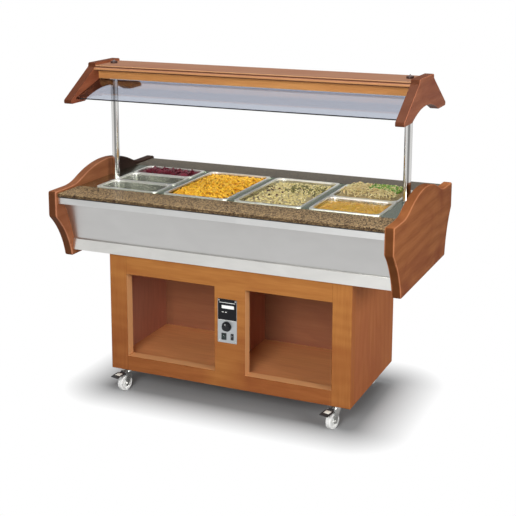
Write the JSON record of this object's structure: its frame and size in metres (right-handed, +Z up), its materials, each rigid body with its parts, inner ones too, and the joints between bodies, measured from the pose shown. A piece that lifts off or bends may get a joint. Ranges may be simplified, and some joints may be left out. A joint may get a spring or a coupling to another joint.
{
  "type": "heated buffet counter",
  "caption": "Heated buffet counter: wooden base on castors, steel hull, granite deck with food pans and a glazed wooden canopy on chrome posts.",
  "frame": {"origin": "on the floor under the middle of the counter", "axes": "+X along the counter to the viewer's right, +Y to the back, +Z up"},
  "size_m": [1.652, 0.952, 1.552],
  "materials": {
    "wood": "satin lacquer",
    "dark_wood": "satin lacquer",
    "stone": "polished granite",
    "steel": "brushed",
    "insulation": "mineral wool",
    "brass": "plain",
    "iron": "painted",
    "chrome": "polished",
    "aluminium": "satin",
    "zinc": "zinc plated",
    "glass": "clear",
    "lamp_glass": "frosted",
    "white_plastic": "matt",
    "black_plastic": "gloss",
    "wheel": "nylon"
  },
  "bodies": {
    "counter": {"base_front_frame": "wood", "base_sides": "wood", "base_back_panel": "wood", "base_bottom": "wood", "base_top": "wood", "niche_floor": "wood", "niche_partition": "wood", "niche_back": "wood", "end_panel_left": "wood", "end_panel_right": "wood", "canopy_end_left": "wood", "canopy_end_right": "wood", "canopy_top_board": "wood", "canopy_fascias": "wood", "granite_strips": "stone", "granite_seals": "black_plastic", "fascia_panels": "steel", "nose_rails": "steel", "lower_rails": "steel", "deck_rails": "steel", "belly_pan": "steel", "well_tank": "steel", "well_insulation": "insulation", "divider_bars": "steel", "drain_pipe": "brass", "heating_element": "steel", "post_sockets": "iron", "canopy_posts": "chrome", "post_cap_nuts": "dark_wood", "glass_panes": "glass", "lamp_batten": "white_plastic", "lamp_tube": "lamp_glass", "cable_gland": "black_plastic", "control_plate": "aluminium", "control_label": "black_plastic", "control_screws": "chrome", "thermostat_body": "white_plastic", "switch_housings": "black_plastic", "castor_plates": "zinc", "castor_bolts": "zinc"},
    "fork_front_left": {"castor_fork_front_left": "zinc"},
    "wheel_front_left": {"castor_wheel_front_left": "wheel"},
    "pedal_front_left": {"brake_pedal_front_left": "zinc"},
    "fork_front_right": {"castor_fork_front_right": "zinc"},
    "wheel_front_right": {"castor_wheel_front_right": "wheel"},
    "pedal_front_right": {"brake_pedal_front_right": "zinc"},
    "fork_rear_left": {"castor_fork_rear_left": "zinc"},
    "wheel_rear_left": {"castor_wheel_rear_left": "wheel"},
    "fork_rear_right": {"castor_fork_rear_right": "zinc"},
    "wheel_rear_right": {"castor_wheel_rear_right": "wheel"},
    "knob": {"thermostat_knob": "black_plastic"},
    "main_switch_rocker": {"main_switch_rocker": "black_plastic"},
    "lamp_switch_rocker": {"lamp_switch_rocker": "black_plastic"},
    "third_pan_front": {"third_pan_front": "steel"},
    "third_pan_middle": {"third_pan_middle": "steel"},
    "third_pan_rear": {"third_pan_rear": "steel"},
    "full_pan_left": {"full_pan_left": "steel"},
    "full_pan_right": {"full_pan_right": "steel"},
    "half_pan_front": {"half_pan_front": "steel"},
    "half_pan_rear": {"half_pan_rear": "steel"}
  },
  "joints": [
    {"name": "swivel_front_left", "type": "hinge", "parent": "counter", "child": "fork_front_left", "pos_m": [-0.526, -0.282, 0.09], "axis": [0, 0, 1], "continuous": true},
    {"name": "roll_front_left", "type": "hinge", "parent": "fork_front_left", "child": "wheel_front_left", "pos_m": [-0.53377, -0.31098, 0.0375], "axis": [-0.9659, 0.2588, 0], "continuous": true},
    {"name": "brake_front_left", "type": "hinge", "parent": "fork_front_left", "child": "pedal_front_left", "pos_m": [-0.53539, -0.31706, 0.09145], "axis": [-0.9659, 0.2588, 0], "range_deg": [-12, 0]},
    {"name": "swivel_front_right", "type": "hinge", "parent": "counter", "child": "fork_front_right", "pos_m": [0.526, -0.282, 0.09], "axis": [0, 0, 1], "continuous": true},
    {"name": "roll_front_right", "type": "hinge", "parent": "fork_front_right", "child": "wheel_front_right", "pos_m": [0.51824, -0.31098, 0.0375], "axis": [-0.9659, 0.2588, 0], "continuous": true},
    {"name": "brake_front_right", "type": "hinge", "parent": "fork_front_right", "child": "pedal_front_right", "pos_m": [0.5166, -0.31706, 0.09145], "axis": [-0.9659, 0.2588, 0], "range_deg": [-12, 0]},
    {"name": "swivel_rear_left", "type": "hinge", "parent": "counter", "child": "fork_rear_left", "pos_m": [-0.526, 0.282, 0.09], "axis": [0, 0, 1], "continuous": true},
    {"name": "roll_rear_left", "type": "hinge", "parent": "fork_rear_left", "child": "wheel_rear_left", "pos_m": [-0.53377, 0.25302, 0.0375], "axis": [-0.9659, 0.2588, 0], "continuous": true},
    {"name": "swivel_rear_right", "type": "hinge", "parent": "counter", "child": "fork_rear_right", "pos_m": [0.526, 0.282, 0.09], "axis": [0, 0, 1], "continuous": true},
    {"name": "roll_rear_right", "type": "hinge", "parent": "fork_rear_right", "child": "wheel_rear_right", "pos_m": [0.51824, 0.25302, 0.0375], "axis": [-0.9659, 0.2588, 0], "continuous": true},
    {"name": "thermostat_turn", "type": "hinge", "parent": "counter", "child": "knob", "pos_m": [0.008, -0.318, 0.401], "axis": [0, -1, 0], "range_deg": [-270, 0]},
    {"name": "main_switch_rock", "type": "hinge", "parent": "counter", "child": "main_switch_rocker", "pos_m": [-0.006, -0.31408, 0.352], "axis": [1, 0, 0], "range_deg": [-16, 0]},
    {"name": "lamp_switch_rock", "type": "hinge", "parent": "counter", "child": "lamp_switch_rocker", "pos_m": [0.035, -0.31449, 0.354], "axis": [1, 0, 0], "range_deg": [-16, 0]},
    {"name": "lift_third_pan_front", "type": "slide", "parent": "counter", "child": "third_pan_front", "axis": [0, 0, 1], "range_m": [0, 0.15]},
    {"name": "lift_third_pan_middle", "type": "slide", "parent": "counter", "child": "third_pan_middle", "axis": [0, 0, 1], "range_m": [0, 0.15]},
    {"name": "lift_third_pan_rear", "type": "slide", "parent": "counter", "child": "third_pan_rear", "axis": [0, 0, 1], "range_m": [0, 0.15]},
    {"name": "lift_full_pan_left", "type": "slide", "parent": "counter", "child": "full_pan_left", "axis": [0, 0, 1], "range_m": [0, 0.15]},
    {"name": "lift_full_pan_right", "type": "slide", "parent": "counter", "child": "full_pan_right", "axis": [0, 0, 1], "range_m": [0, 0.15]},
    {"name": "lift_half_pan_front", "type": "slide", "parent": "counter", "child": "half_pan_front", "axis": [0, 0, 1], "range_m": [0, 0.15]},
    {"name": "lift_half_pan_rear", "type": "slide", "parent": "counter", "child": "half_pan_rear", "axis": [0, 0, 1], "range_m": [0, 0.15]}
  ]
}
